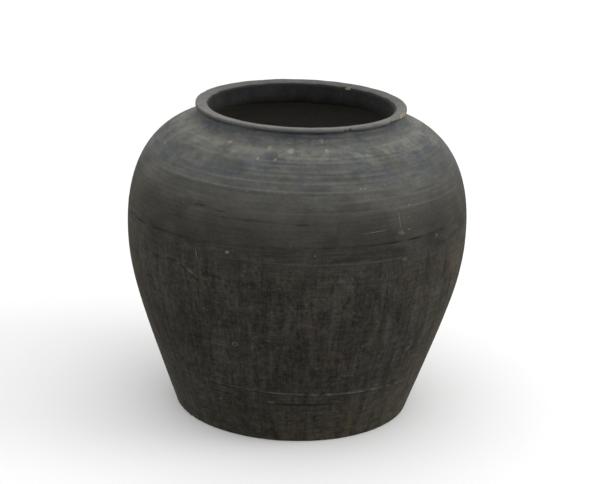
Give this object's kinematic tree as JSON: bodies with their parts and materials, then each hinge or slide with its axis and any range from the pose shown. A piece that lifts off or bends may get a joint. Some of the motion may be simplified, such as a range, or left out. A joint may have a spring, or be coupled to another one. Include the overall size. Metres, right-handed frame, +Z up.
{
  "type": "clay storage jar",
  "caption": "Wide-shouldered, flat-based black clay jar with a short upright collar and a thick flat lip, open at the top.",
  "frame": {"origin": "centre of the foot, on the surface that the jar stands on", "axes": "+Z up along the jar's axis; +X to the right and +Y to the back as the jar is seen from the front"},
  "size_m": [0.42, 0.42, 0.384],
  "materials": {
    "base_clay": "rough unglazed clay, less smoked than the wall, gritty where it stood on the kiln floor",
    "wall_clay": "matt smoked clay, brown-black, with scraping streaks and patches",
    "shoulder_clay": "matt smoked clay, slate grey, with fine turning lines and pale dust",
    "lip_clay": "smoked clay worn to mid grey on the flat top, with small chips at the edge"
  },
  "bodies": {
    "root": {"base_slab": "base_clay", "foot_course": "wall_clay", "lower_wall": "wall_clay", "shoulder_wall": "shoulder_clay", "neck_collar": "shoulder_clay", "rim_lip": "lip_clay"}
  },
  "joints": []
}
